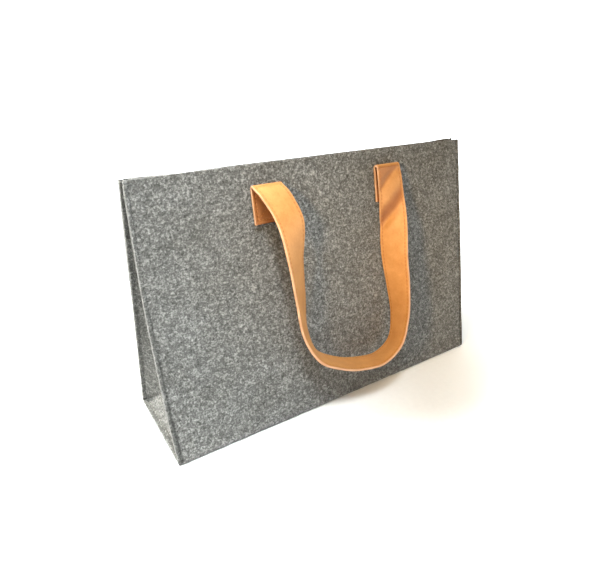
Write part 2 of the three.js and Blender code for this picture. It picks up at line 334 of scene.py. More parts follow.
class Shader:
    """A material's node tree, with short calls for the nodes that the materials share."""

    def __init__(self, name):
        self.material = bpy.data.materials.new(name)
        self.material.use_nodes = True
        self.tree = self.material.node_tree
        self.surface = self.tree.nodes["Principled BSDF"]
        attribute = self.tree.nodes.new("ShaderNodeAttribute")
        attribute.attribute_name = "place"
        self.place = attribute.outputs["Vector"]

    def link(self, source, target):
        self.tree.links.new(source, target)

    def texture(self, kind, scale, turn=0.0):
        """A texture over the piece's own coordinates, scaled and turned."""
        mapping = self.tree.nodes.new("ShaderNodeMapping")
        mapping.inputs["Rotation"].default_value = (0, 0, turn)
        mapping.inputs["Scale"].default_value = scale
        self.link(self.place, mapping.inputs["Vector"])
        node = self.tree.nodes.new(kind)
        node.inputs["Scale"].default_value = 1.0
        self.link(mapping.outputs["Vector"], node.inputs["Vector"])
        return node

    def noise(self, size, detail=2.0, stretch=(1, 1, 1), turn=0.0, rough=0.55, warp=0.0):
        """Noise with features of the given size in mm, as a number from 0 to 1."""
        node = self.texture("ShaderNodeTexNoise", [1 / (size * s) for s in stretch], turn)
        node.inputs["Detail"].default_value = detail
        node.inputs["Roughness"].default_value = rough
        node.inputs["Distortion"].default_value = warp
        return node.outputs["Fac"]

    def cells(self, size):
        return self.texture("ShaderNodeTexVoronoi", (1 / size,) * 3).outputs["Distance"]

    def math(self, operation, a, b=0.0):
        node = self.tree.nodes.new("ShaderNodeMath")
        node.operation = operation
        for socket, value in zip(node.inputs, (a, b)):
            if isinstance(value, (int, float)):
                socket.default_value = value
            else:
                self.link(value, socket)
        return node.outputs["Value"]

    def times(self, a, b):
        return self.math("MULTIPLY", a, b)

    def minus(self, a, b):
        return self.math("SUBTRACT", a, b)

    def size(self, a):
        return self.math("ABSOLUTE", a)

    def parts(self, vector):
        node = self.tree.nodes.new("ShaderNodeSeparateXYZ")
        self.link(vector, node.inputs[0])
        return tuple(node.outputs)

    def map_range(self, source, low, high, to_low, to_high):
        node = self.tree.nodes.new("ShaderNodeMapRange")
        node.interpolation_type = "SMOOTHSTEP"
        ends = {"From Min": low, "From Max": high, "To Min": to_low, "To Max": to_high}
        for name, value in ends.items():
            node.inputs[name].default_value = value
        self.link(source, node.inputs["Value"])
        return node.outputs["Result"]

    def mix_sum(self, *parts):
        """The sum of (source, weight) pairs."""
        total = None
        for source, weight in parts:
            term = self.math("MULTIPLY", source, weight)
            total = term if total is None else self.math("ADD", total, term)
        return total

    def ramp(self, source, stops):
        node = self.tree.nodes.new("ShaderNodeValToRGB")
        elements = node.color_ramp.elements
        while len(elements) < len(stops):
            elements.new(0.5)
        for element, (place, colour) in zip(elements, stops):
            element.position = place
            element.color = (*colour, 1)
        self.link(source, node.inputs["Fac"])
        return node.outputs["Color"]

    def blend(self, kind, share, a, b):
        node = self.tree.nodes.new("ShaderNodeMix")
        node.data_type = "RGBA"
        node.blend_type = kind
        sockets = {s.identifier: s for s in node.inputs}
        named = (("Factor_Float", share), ("A_Color", a), ("B_Color", b))
        for identifier, value in named:
            if isinstance(value, (int, float)):
                sockets[identifier].default_value = value
            elif isinstance(value, tuple):
                sockets[identifier].default_value = (*value, 1)
            else:
                self.link(value, sockets[identifier])
        return next(s for s in node.outputs if s.identifier == "Result_Color")

    def bump(self, source, height, strength=1.0):
        """Adds relief, in mm, on top of any that the surface already has."""
        node = self.tree.nodes.new("ShaderNodeBump")
        node.inputs["Distance"].default_value = height * MM
        node.inputs["Strength"].default_value = strength
        self.link(source, node.inputs["Height"])
        normal = self.surface.inputs["Normal"]
        if normal.is_linked:
            self.link(normal.links[0].from_socket, node.inputs["Normal"])
        self.link(node.outputs["Normal"], normal)

    def finish(self, colour, roughness, **constants):
        self.link(colour, self.surface.inputs["Base Color"])
        if isinstance(roughness, float):
            self.surface.inputs["Roughness"].default_value = roughness
        else:
            self.link(roughness, self.surface.inputs["Roughness"])
        for name, value in constants.items():
            self.surface.inputs[name.replace("_", " ")].default_value = value
        return self.material


def painted_seam_shade(s, colour):
    """Painted shade: felt is darkened along each side seam's stitched groove, more so low down, and
    along the rolled edge low on a side seam, where shade falls.
    """
    x, height, layer = s.parts(s.place)
    on_back = s.map_range(layer, BACK_PLACE / 2 - 1, BACK_PLACE / 2 + 1, 0.0, BACK_PLACE)
    from_edge = s.minus(HALF_WIDTH, s.size(s.minus(x, on_back)))
    up = s.minus(height, on_back)
    from_row = s.size(s.minus(from_edge, STITCH_IN))
    # painted shade in the stitched groove, strongest at the bottom and fading upwards
    groove_shade = s.map_range(from_row, 0.5, 2.0, 0.62, 0.0)
    groove_shade = s.times(groove_shade, s.map_range(up, 0, 190, 1.0, 0.45))
    # painted shade along the rolled edge in the lower part of the seam
    rolled_edge_shade = s.map_range(from_edge, 3.4, 6.2, 0.42, 0.0)
    rolled_edge_shade = s.times(rolled_edge_shade, s.map_range(up, 30, 170, 1.0, 0.0))
    colour = s.blend("MULTIPLY", groove_shade, colour, (0.34, 0.34, 0.33))
    return s.blend("MULTIPLY", rolled_edge_shade, colour, (0.40, 0.40, 0.39))


def felt_material(name, dark, middle, light, seams=False):
    """Wool felt: mottled grey from tangled dark and light fibres, matte, with a short nap."""
    s = Shader(name)
    clumps = s.noise(8.5, detail=2.0, warp=0.6)
    blobs = s.noise(3.0, detail=3.0, rough=0.6, warp=0.5)
    flecks = s.noise(1.7, detail=2.0, rough=0.6)
    fibres_a = s.noise(0.75, detail=2.0, stretch=(6, 1, 1), turn=0.6, warp=1.4)
    fibres_b = s.noise(0.75, detail=2.0, stretch=(1, 6, 1), turn=0.3, warp=1.4)
    patches = s.noise(38.0, detail=2.0)
    tangle = s.math("MAXIMUM", fibres_a, fibres_b)
    mottle = s.mix_sum((clumps, 0.09), (blobs, 0.36), (flecks, 0.30), (tangle, 0.25))
    colour = s.ramp(mottle, [(0.385, dark), (0.51, middle), (0.645, light)])
    tint = s.ramp(patches, [(0.3, (0.90, 0.89, 0.86)), (0.7, (1.08, 1.08, 1.08))])
    colour = s.blend("MULTIPLY", 1.0, colour, tint)
    # the panels' felt gets painted shade along its side seams
    if seams:
        colour = painted_seam_shade(s, colour)
    s.bump(blobs, 0.6, 0.55)
    s.bump(tangle, 0.35, 0.8)
    return s.finish(colour, 0.96, Specular_IOR_Level=0.18, Sheen_Weight=0.15, Sheen_Roughness=0.55)


def painted_crease_shade(s, colour, along, across):
    """Painted shade: the two slanting creases under a loop's right fold are darkened where they
    turn away from the light.
    """
    from_fold = s.minus(LOOP_PLACE + LOOP_LENGTH, s.math("MODULO", along, HANDLE_PLACE))
    slant = s.minus(from_fold, s.times(across, CREASE_SLANT))
    lower = s.map_range(slant, 26, 42, 0.0, 1.0)
    lower = s.times(lower, s.map_range(slant, 46, 53, 1.0, 0.0))
    upper = s.map_range(from_fold, -3.5, 0, 0.0, 0.75)
    upper = s.times(upper, s.map_range(slant, 9, 14, 1.0, 0.0))
    inside = s.map_range(s.size(across), STRAP_HALF - 4, STRAP_HALF, 1.0, 0.35)
    share = s.times(s.math("MAXIMUM", lower, upper), inside)
    # darkens the creases as painted shade
    return s.blend("MULTIPLY", share, colour, (0.56, 0.43, 0.36))


def strap_material(name, dark, middle, light, edge=False):
    """Smooth leather look: a fine pebbled grain over a slightly uneven tan, with painted shade on
    its inner side and in its creases, and pricked lines where it is sewn, or its paler cut edge."""
    s = Shader(name)
    clouds = s.noise(16.0, detail=2.0)
    streaks = s.noise(2.2, detail=3.0, stretch=(5, 1, 1) if edge else (1, 1, 1))
    grain = s.cells(0.85)
    fine = s.noise(0.5, detail=2.0)
    tone = s.mix_sum((clouds, 0.55), (streaks, 0.30), (fine, 0.15))
    colour = s.ramp(tone, [(0.30, dark), (0.5, middle), (0.70, light)])
    pits = s.ramp(grain, [(0.0, (1.03, 1.02, 1.0)), (0.75, (0.93, 0.90, 0.86))])
    colour = s.blend("MULTIPLY", 0.8, colour, pits)
    if not edge:
        along, across, out = s.parts(s.place)
        from_row = s.size(s.minus(s.size(across), STRAP_HALF - ROW_IN))
        row = s.map_range(from_row, 0.25, 0.95, 1.0, 0.0)
        phase = s.times(along, 2 * math.pi / ROW_PITCH)
        prick = s.map_range(s.math("COSINE", phase), -0.6, 0.9, 0.30, 1.0)
        colour = s.blend("MULTIPLY", s.times(row, prick), colour, (0.66, 0.54, 0.44))
        rim = s.map_range(s.size(across), STRAP_HALF - 1.2, STRAP_HALF - 0.3, 0.0, 1.0)
        colour = s.blend("MULTIPLY", s.times(rim, 0.35), colour, (0.75, 0.62, 0.5))
        colour = painted_crease_shade(s, colour, along, across)
        # painted shade: the strap's inner side, seen on the tabs under the loop, is darkened
        back = s.map_range(out, -0.9, -1.1, 0.0, 1.0)
        colour = s.blend("MULTIPLY", back, colour, (0.54, 0.42, 0.35))
    s.bump(grain, 0.10 if edge else 0.07, 0.7)
    s.bump(fine, 0.05, 0.8)
    rough = s.math("ADD", s.times(tone, 0.25), 0.62 if edge else 0.36)
    return s.finish(colour, rough, Specular_IOR_Level=0.3 if edge else 0.42)


def thread_material(name, dark, light, sheen):
    """Twisted sewing thread: slanting plies along each stitch."""
    s = Shader(name)
    plies = s.noise(0.5, detail=1.0, stretch=(1.6, 0.8, 1), turn=0.8)
    colour = s.ramp(plies, [(0.35, dark), (0.65, light)])
    s.bump(plies, 0.12, 0.8)
    return s.finish(colour, 0.62, Sheen_Weight=sheen, Specular_IOR_Level=0.35)


def floor_material():
    """Pale matt paper, glowing far behind the bag as a backdrop and, as painted light, over its
    shadow on the right.
    """
    s = Shader("floor")
    speckle = s.noise(6.0, detail=3.0)
    right, depth, _ = s.parts(s.place)
    s.surface.inputs["Emission Color"].default_value = (0.88, 0.95, 1, 1)
    behind = s.map_range(depth, -150.0, 1250.0, 0.0, 0.95)
    forward = s.times(s.math("MINIMUM", depth, 0.0), 0.8)
    # painted light: the floor glows to the bag's right, where the bag's shadow falls
    beside = s.map_range(s.minus(right, forward), 150.0, 400.0, 0.0, 0.85)
    s.link(s.math("ADD", behind, beside), s.surface.inputs["Emission Strength"])
    colour = s.ramp(speckle, [(0.3, (0.86, 0.858, 0.85)), (0.7, (0.89, 0.888, 0.88))])
    return s.finish(colour, 0.8, Specular_IOR_Level=0.2)


add_camera()
add_studio()
felt = felt_material(
    "felt", (0.0235, 0.023, 0.0215), (0.096, 0.0955, 0.091), (0.31, 0.308, 0.298), seams=True
)
# the panels' felt made darker for all gusset pieces: painted shade
gusset_felt = felt_material(
    "gusset_felt", (0.020, 0.0195, 0.017), (0.082, 0.080, 0.073), (0.27, 0.266, 0.248)
)
strap_edge = strap_material(
    "strap_edge", (0.38, 0.20, 0.105), (0.50, 0.285, 0.165), (0.60, 0.37, 0.235), edge=True
)
felt_thread = thread_material("felt_thread", (0.012, 0.012, 0.011), (0.036, 0.035, 0.032), 0.1)
strap_thread = thread_material("strap_thread", (0.32, 0.112, 0.025), (0.44, 0.175, 0.045), 0.05)


# ---------------------------------------------------------------- felt body

MOUTH_CLOSE = 2.75  # how far both top edges lean in, so that the mouth looks shut
BOW_DEPTH = 14.5  # how far the front panel's left end bows inwards
BOW_REACH = 190.0  # how far along the panel it fades out
BACK_GAPE = 5.6  # how far the back panel's left corner stands off at the mouth
BACK_HANG = 3.4  # and how much lower it hangs
FOOT_CURL = 2.9  # the middle surface's radius where the felt turns under
BOTTOM_HALF = FOOT_Y - 6.5  # where the bottom's felt meets the panels' curled feet
STITCH_PITCH = 5.2
STITCH_LENGTH = 3.7
EDGE_OUT = 0.44 * HALF_FELT  # how far a cut edge stands past the sheet's grid


def bow(x, z, face):
    """How far a panel stands inside its flat place, in mm."""
    height = np.clip(z / PANEL_TOP, 0, 1)
    rise = np.sin(math.pi * height)
    mouth = MOUTH_CLOSE * smoothstep(PANEL_TOP - 34, PANEL_TOP - 2, z)
    mouth = mouth * smoothstep(0, 42, HALF_WIDTH - 8 - np.abs(x))
    if face == "back":
        gape = BACK_GAPE * smoothstep(110, HALF_WIDTH, x) * smoothstep(0.45, 1.0, height)
        return 1.6 * rise * np.cos(x / 90.0) + mouth - gape
    from_left = np.clip((x + HALF_WIDTH) / BOW_REACH, 0, 1)
    dent = 3.5 * np.exp(-(((z - 46) / 22.0) ** 2)) * np.exp(-((HALF_WIDTH + x) / 55.0))
    main = (BOW_DEPTH * rise + dent * rise) * (1 - from_left) ** 2 * (1 + 2 * from_left)
    return main + 1.1 * rise * np.sin(x / 62.0 + 0.6) * smoothstep(-200, -60, x) + mouth


def seam_channel(x, z):
    """How deep the stitches pull the felt in, at both side seams."""
    from_seam = HALF_WIDTH - STITCH_IN - np.abs(x)
    channel = np.exp(-((from_seam / 1.25) ** 2))
    pull = 0.72 + 0.28 * np.cos(2 * math.pi * z / STITCH_PITCH)
    lower = 1 + 0.45 * (1 - smoothstep(10, 110, z))
    return 1.35 * channel * pull * lower


def felt_lumps(x, z, seed):
    flat = xyz(x, z, 0 * x)
    return 0.16 * smooth_noise(flat, 6.5, seed) + 0.30 * smooth_noise(flat, 24, seed + 1)


def even_steps(low, high, step):
    return np.linspace(low, high, max(2, round((high - low) / step) + 1))


def panel_columns():
    """Places along the width, closer together beside the side seams."""
    end = HALF_WIDTH - EDGE_OUT
    fine = even_steps(HALF_WIDTH - 9, end, 0.55)
    wide = even_steps(-HALF_WIDTH + 9, HALF_WIDTH - 9, 2.6)
    return np.concatenate([-fine[::-1], wide[1:-1], fine])


def panel_felt(face):
    """A panel with its foot curled under as far as the bottom's felt."""
    x = panel_columns()
    turn = math.pi / 2 + LEAN
    tangent = FOOT_CURL * math.tan(turn / 2)
    angles = np.linspace(0, turn, 9)
    under = even_steps(BOTTOM_HALF, FOOT_Y - tangent, 1.2)[:-1]
    centre = np.array([FOOT_Y - tangent, FOOT_Z + FOOT_CURL])
    ys = np.concatenate([-under, -centre[0] - FOOT_CURL * np.sin(angles)])
    zs = np.concatenate([0 * under + FOOT_Z, centre[1] - FOOT_CURL * np.cos(angles)])
    up = even_steps(tangent, PANEL_TOP - EDGE_OUT, 2.4)[1:]
    ys = np.concatenate([ys, -FOOT_Y + up * LEAN_SIN])
    zs = np.concatenate([zs, FOOT_Z + up * LEAN_COS])
    before = np.concatenate([-(FOOT_Y - under), -tangent + angles / turn * 2 * tangent])
    height = np.concatenate([before, up])  # along the felt, up from the fold
    grid_x, grid_h = np.meshgrid(x, height, indexing="ij")
    inward = bow(grid_x, np.maximum(grid_h, 0), face)
    grid = xyz(grid_x, ys[None, :] + inward * LEAN_COS, zs[None, :] - inward * LEAN_SIN)
    if face == "back":  # its left end hangs a little lower at the mouth
        towards_end = smoothstep(90, HALF_WIDTH, grid_x)
        grid[..., 2] -= BACK_HANG * towards_end * smoothstep(150, PANEL_TOP, grid_h)
    seed = 11 if face == "front" else 31
    above = smoothstep(2, 9, grid_h)
    lumps = felt_lumps(grid_x, grid_h, seed)
    channel = seam_channel(grid_x, grid_h) * above
    if face == "back":
        grid = turned_round(grid)
    place = xyz(grid_x, grid_h, 0 * grid_x) + (0 if face == "front" else BACK_PLACE)
    edges = [FLAT_EDGE, CUT_EDGE, CUT_EDGE, CUT_EDGE]
    outer = (lumps - 0.12) * above - channel
    piece = felt_sheet(f"{face}_felt", grid, place, edges, felt, outer, -0.45 * channel, seed)
    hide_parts(f"{face}_panel")
    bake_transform(piece)


def bottom_felt():
    x = panel_columns()
    y = even_steps(-BOTTOM_HALF, BOTTOM_HALF, 2.6)
    grid_x, grid_y = np.meshgrid(x, y, indexing="ij")
    # facing down, so that the outer face is the outside of the bag, as on the panels
    grid = xyz(grid_x, grid_y, FOOT_Z)[:, ::-1]
    inside = smoothstep(0, 14, BOTTOM_HALF - np.abs(grid_y))
    lumps = felt_lumps(grid_x, grid_y, 51) * inside
    place = xyz(grid_x, grid_y + 300, 0 * grid_x)[:, ::-1]
    edges = [FLAT_EDGE, CUT_EDGE, FLAT_EDGE, CUT_EDGE]
    inner = (0.5 * lumps + 0.25 * inside * lumps)[:, ::-1]
    piece = felt_sheet("bottom_felt", grid, place, edges, felt, 0.0, inner, 51)
    show(piece, "bottom_panel", "base")


# ---------------------------------------------------------------- gussets

STRIP_Y = HALF_FELT + 0.35 + HALF_FELT  # a gusset's edge strip from its panel, between middles
GUSSET_HALF = FOOT_Y - STRIP_Y  # from the side seam's fold to the middle crease, along the felt
CREASE_CURL = 1.3  # the middle surface's radius at the crease
GUSSET_TOP = PANEL_TOP - 4.6 - EDGE_OUT
GUSSET_FOOT = 3.0  # up the panel, where the bottom's fold meets the side seam's fold
# heights up the panel where a gusset half would ride wholly on its panel and wholly on its own body
HALF_BLEND = (-167.4, 328.3)


def own_seam_x(face, end):
    """Where a seam's fold is in its panel's own frame: the back panel's left is the bag's right."""
    sign = -1 if end == "left" else 1
    return sign * SEAM_FOLD * (1 if face == "front" else -1)


def straight_part(turn):
    """How much of a half's felt is straight, before the curl at the crease."""
    return GUSSET_HALF - CREASE_CURL * (math.pi / 2 - turn)


def gusset_turn(z, seam):
    """The angle between a gusset half and its panel at height z, which brings the crease to the
    middle of the bag while the felt keeps its length. seam is how far the panel bows there."""
    room = (FOOT_Y - z * LEAN_SIN) / LEAN_COS - STRIP_Y - seam
    low, high = np.zeros_like(room), np.full_like(room, math.pi / 2)
    for _ in range(30):
        turn = (low + high) / 2
        reach = straight_part(turn) * np.sin(turn) + CREASE_CURL * (1 - np.sin(turn))
        low, high = np.where(reach < room, turn, low), np.where(reach < room, high, turn)
    return (low + high) / 2


def crease_depth(turn):
    """How far into the bag a half reaches at its crease."""
    return straight_part(turn) * np.cos(turn) + CREASE_CURL * (1 - np.sin(turn))


def half_points(across, z, face, end):
    """Middle-surface points of a gusset half, in its panel's own frame."""
    high = np.maximum(z, GUSSET_FOOT + GUSSET_HALF)
    turn = gusset_turn(high, bow(np.array(own_seam_x(face, end)), high, face))
    # beside a bowed panel the felt is crowded, so the crease stays where the other half has it
    crowd = crease_depth(gusset_turn(high, 0 * high)) / crease_depth(turn)
    straight = straight_part(turn)
    before = np.minimum(across, straight)
    curl = np.maximum(across - straight, 0) / CREASE_CURL
    forward = before * np.cos(turn) + CREASE_CURL * (np.sin(turn + curl) - np.sin(turn))
    inward = before * np.sin(turn) + CREASE_CURL * (np.cos(turn) - np.cos(turn + curl))
    seam_x = own_seam_x(face, end)
    belly = 1.3 * np.sin(math.pi * np.clip(across / GUSSET_HALF, 0, 1)) * smoothstep(60, 130, z)
    belly = belly * (1 - smoothstep(200, 262, z))
    inward = inward - belly * np.cos(turn)
    forward = forward + belly * np.sin(turn)
    x = seam_x - math.copysign(1, seam_x) * forward * crowd
    return xyz(x, STRIP_Y + bow(np.array(seam_x), z, face) + inward, z)


def facing_out(grid, place, sign):
    """Turns a grid's columns round where its faces would otherwise point into the bag."""
    return (grid, place) if sign > 0 else (grid[::-1], place[::-1])


def gusset_half(face, end):
    seam_x = own_seam_x(face, end)
    across = np.concatenate(
        [even_steps(0, GUSSET_HALF - 3.2, 2.2), even_steps(GUSSET_HALF - 3.2, GUSSET_HALF, 0.4)[1:]]
    )
    share = np.linspace(0, 1, 96)
    low = GUSSET_FOOT + across
    z = low[:, None] + share[None, :] * (GUSSET_TOP - low)[:, None]
    grid_a = np.broadcast_to(across[:, None], z.shape)
    own = half_points(grid_a, z, face, end)
    grid = to_world(own, face)
    place = xyz(grid_a + 40, z, 0 * z) + GUSSET_PLACE[face]
    sign = 1 if seam_x > 0 else -1
    knuckled = [KNUCKLE, FLAT_EDGE, CUT_EDGE, KNUCKLE]
    grid, place = facing_out(grid, place, sign)
    edges = knuckled if sign > 0 else [KNUCKLE, KNUCKLE, CUT_EDGE, FLAT_EDGE]
    seed = 71 + 4 * FACES.index(face) + 2 * ENDS.index(end)
    lumps = felt_lumps(place[..., 0], place[..., 1], seed) * 0.7
    from_crease = GUSSET_HALF + 40 + GUSSET_PLACE[face] - place[..., 0]
    lumps = lumps * smoothstep(0, 6, from_crease)
    piece = felt_sheet(
        f"{end}_gusset_{face}_felt", grid, place, edges, gusset_felt, lumps * 0.5, lumps * 0.5, seed
    )
    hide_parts(f"{end}_gusset_{face}_half")
    start, stop = [
        to_world(np.array([seam_x, STRIP_Y, height]), face) * MM for height in HALF_BLEND
    ]
    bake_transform(piece)


def gusset_edge(face, end):
    """The strip of a gusset that is sewn against its panel."""
    seam_x = own_seam_x(face, end)
    sign = math.copysign(1, seam_x)
    outward = even_steps(0, HALF_WIDTH - EDGE_OUT - SEAM_FOLD, 0.6)
    z = even_steps(GUSSET_FOOT + 3.4, GUSSET_TOP, 1.8)
    grid_o, grid_z = np.meshgrid(outward, z, indexing="ij")
    x = seam_x + sign * grid_o
    inward = STRIP_Y + bow(np.full_like(grid_z, seam_x), grid_z, face)
    grid = to_world(xyz(x, inward, grid_z), face)
    place = xyz(grid_o - 20, grid_z, 0 * grid_z) + GUSSET_PLACE[face]
    # facing out of the bag's inside, away from the panel
    if sign > 0:
        grid, place, x, grid_z = grid[::-1], place[::-1], x[::-1], grid_z[::-1]
        edges = [CUT_EDGE, KNUCKLE, CUT_EDGE, CUT_EDGE]
    else:
        edges = [CUT_EDGE, CUT_EDGE, CUT_EDGE, KNUCKLE]
    channel = seam_channel(x, grid_z)
    piece = felt_sheet(
        f"{end}_gusset_{face}_edge_felt", grid, place, edges, gusset_felt, -0.6 * channel, 0.0, 91
    )
    show(piece, f"{end}_gusset_{face}_seam_strip", face)


def foot_corners(end):
    """Corners of a foot triangle's middle surface: two on the bottom's fold and the apex, where the
    gusset's folds meet."""
    sign = -1 if end == "left" else 1
    x = sign * FOOT_FOLD_X
    half_base = FOOT_Y - 3.45
    near = np.array([x, -half_base, FOOT_FOLD_Z])
    far = np.array([x, half_base, FOOT_FOLD_Z])
    height = np.array(GUSSET_FOOT + GUSSET_HALF)
    tips = []
    for face in FACES:
        own = half_points(np.array(GUSSET_HALF), height, face, end)
        tips.append(to_world(own, face))
    return near, far, (tips[0] + tips[1]) / 2


def gusset_foot(end):
    near, far, apex = foot_corners(end)
    rows = 34
    numbers, points, flat = [], [], []
    base = np.linalg.norm(far - near)
    height = np.linalg.norm(apex - (near + far) / 2)
    for row in range(rows + 1):
        up = row / rows
        numbers.append(list(range(len(points), len(points) + rows + 1 - row)))
        for along in np.linspace(0, 1, rows + 1 - row) if row < rows else [0.5]:
            a, b = near + (apex - near) * up, far + (apex - far) * up
            points.append(a + (b - a) * along)
            flat.append((base * (up / 2 + along * (1 - up)), height * up, 0.0))
    points, flat = np.array(points), np.array(flat) + (1300 if end == "left" else 1500)
    faces = []
    for lower, upper in zip(numbers, numbers[1:]):
        for k in range(len(upper)):
            faces.append((lower[k], lower[k + 1], upper[k]))
            if k + 1 < len(upper):
                faces.append((lower[k + 1], upper[k + 1], upper[k]))
    rim = numbers[0] + [row[-1] for row in numbers[1:]] + [row[0] for row in numbers[-2:0:-1]]
    if end == "left":  # faces out of the bag
        faces = [f[::-1] for f in faces]
        rim = rim[::-1]
    normal = unit(np.cross(far - near, apex - near)) * (-1 if end == "left" else 1)
    normals = np.broadcast_to(normal, points.shape)
    share = (flat[:, 1] - flat[0, 1]) / height
    middle = np.abs(flat[:, 0] - flat[0, 0] - base / 2) / (base / 2)
    inside = smoothstep(0, 0.25, share) * smoothstep(0, 0.25, 1 - share - middle)
    points = points + normals * (1.2 * inside)[:, None]
    worn = 0.10 * smooth_noise(flat, 3.1, 83) + 0.22 * smooth_noise(flat, 18, 84) * inside
    edges = np.array([KNUCKLE] * len(rim))
    rim = np.array(rim)
    solid, all_faces = thicken(
        points, np.array(faces), normals, rim, edges, HALF_FELT + worn, HALF_FELT - worn
    )
    places = [flat + [0, 0, HALF_FELT], flat - [0, 0, HALF_FELT]] + [flat[rim]] * len(KNUCKLE)
    places = np.concatenate(places)
    piece = add_mesh(f"{end}_gusset_foot_felt", solid, all_faces, places, [gusset_felt])
    show(piece, f"{end}_gusset_foot", f"{end}_gusset_bottom")


def gusset_bottom_edge(end):
    """The strip of a gusset that is sewn to the bottom."""
    sign = -1 if end == "left" else 1
    reach = FOOT_Y - 3.6
    outward = even_steps(0, HALF_WIDTH - EDGE_OUT - FOOT_FOLD_X, 0.6)
    y = even_steps(-reach, reach, 1.8)
    grid_o, grid_y = np.meshgrid(outward, y, indexing="ij")
    x = sign * (FOOT_FOLD_X + grid_o)
    z = FOOT_FOLD_Z - 0.25 * smoothstep(0, 4, grid_o)
    grid, place = xyz(x, grid_y, z), xyz(grid_o - 20, grid_y + 1700, 0 * grid_y)
    if sign < 0:
        grid, place, grid_y = grid[::-1], place[::-1], grid_y[::-1]
        edges = [CUT_EDGE, KNUCKLE, CUT_EDGE, CUT_EDGE]
    else:
        edges = [CUT_EDGE, CUT_EDGE, CUT_EDGE, KNUCKLE]
    channel = seam_channel(grid[..., 0], grid_y) * 0.7
    piece = felt_sheet(
        f"{end}_gusset_bottom_edge_felt", grid, place, edges, gusset_felt, -channel, 0.0, 95
    )
    show(piece, f"{end}_gusset_bottom_strip", "base")


# ---------------------------------------------------------------- stitches


def stitch_mesh(name, centres, along, out, length, radius, material):
    """Separate stitches, each a short thread that dips into the material at both ends."""
    stations = np.array([-0.5, -0.42, -0.22, 0.0, 0.22, 0.42, 0.5])
    girth = np.array([0.35, 0.8, 1.0, 1.05, 1.0, 0.8, 0.35])
    top, sink = 0.30, 0.42  # its middle above the surface and its ends below, in radii
    rise = top - (sink + top) * (2 * np.abs(stations)) ** 2.6
    sides = 7
    around = np.arange(sides) * 2 * math.pi / sides
    centres, along, out = (np.asarray(v, float) for v in (centres, along, out))
    across = unit(np.cross(along, out))
    number = np.arange(len(centres))
    points, places = [], []
    for k, station in enumerate(stations):
        middle = centres + along * (station * length) + out * (rise[k] * radius)
        for angle in around:
            arm = across * math.cos(angle) + out * math.sin(angle)
            points.append(middle + arm * radius * girth[k])
            places.append(xyz(number * 7.3 + station * length, angle * radius, 0 * number))
    rings = len(stations)
    points = np.stack(points, 1).reshape(-1, 3)
    places = np.stack(places, 1).reshape(-1, 3)
    one = []
    for k in range(rings - 1):
        for j in range(sides):
            a, b = k * sides + j, k * sides + (j + 1) % sides
            one.append((a, b, b + sides, a + sides))
    one.append(tuple(range(sides))[::-1])
    one.append(tuple((rings - 1) * sides + j for j in range(sides)))
    faces = [tuple(i + n * rings * sides for i in f) for n in range(len(centres)) for f in one]
    return add_mesh(name, points, [f[::-1] for f in faces], places, [material])


def side_seam_stitches(face, end):
    """The side seam's stitches on the panel, and the same row where it comes out on the gusset."""
    own_sign = math.copysign(1, own_seam_x(face, end))
    z = np.arange(7.5, PANEL_TOP - 4, STITCH_PITCH) + 0.5 * STITCH_PITCH
    x = np.full_like(z, own_sign * (HALF_WIDTH - STITCH_IN))
    depth = seam_channel(x, z)
    inward = bow(x, z, face)
    rows = {
        "seam_stitches": (inward - HALF_FELT + depth + 0.05, -1),
        "seam_back_stitches": (inward + STRIP_Y + HALF_FELT - 0.6 * depth, 1),
    }
    for name, (y, facing) in rows.items():
        centres = to_world(xyz(x, y, z), face)
        ahead = to_world(xyz(x, y + 0 * z, z + 1), face) - centres
        out = to_world(xyz(x, y + facing, z), face) - centres
        piece = stitch_mesh(
            f"{face}_{end}_{name}", centres, ahead, out, STITCH_LENGTH, FELT_THREAD, felt_thread
        )
        stands_for = f"{face}_{end}_seam_thread" if facing < 0 else None
        show(piece, stands_for, face)


def bottom_seam_stitches(end):
    sign = -1 if end == "left" else 1
    reach = FOOT_Y - 8
    y = np.arange(-reach, reach, STITCH_PITCH) + 0.5 * STITCH_PITCH
    x = np.full_like(y, sign * (HALF_WIDTH - STITCH_IN))
    depth = 0.7 * seam_channel(x, y)
    rows = {"stitches": (FOOT_FOLD_Z - 0.25 + HALF_FELT - depth, 1), "under_stitches": (0.28, -1)}
    for name, (z, facing) in rows.items():
        centres = xyz(x, y, z)
        ahead = np.broadcast_to([0.0, 1.0, 0.0], centres.shape)
        out = np.broadcast_to([0.0, 0.0, float(facing)], centres.shape)
        radius = FELT_THREAD if facing > 0 else 0.25
        piece = stitch_mesh(
            f"{end}_bottom_seam_{name}", centres, ahead, out, STITCH_LENGTH, radius, felt_thread
        )
        stands_for = f"{end}_bottom_seam_thread" if facing > 0 else None
        show(piece, stands_for, "base")


# ---------------------------------------------------------------- strap handles

FOLD_RADIUS = 2.6
FOLD_DROP = 20.0  # from a panel's top edge down to the line that a strap folds on
TAB_TOP = 24.0
TAB_FOOT = 56.0
TAB_BOX = (STRAP_HALF - 4, (TAB_FOOT - TAB_TOP) / 2 - 4)  # half of the box of stitches on a tab
FOLD_AXIS_Y = -HALF_FELT - 0.3 - STRAP_THICK - FOLD_RADIUS
FOLD_AXIS_Z = PANEL_TOP - FOLD_DROP
LEFT_OVER, LEFT_DROP = math.radians(140), FOLD_DROP + 2.6  # the left fold has sprung open and sunk
RIGHT_OVER, RIGHT_DROP = math.radians(180), FOLD_DROP


def fold_end(over, drop):
    """The drop below the top edge and the stand-off from the panel where a strap's fold ends."""
    axis = -HALF_FELT - FOLD_AXIS_Y
    return drop - FOLD_RADIUS * math.sin(over), axis - FOLD_RADIUS * math.cos(over)


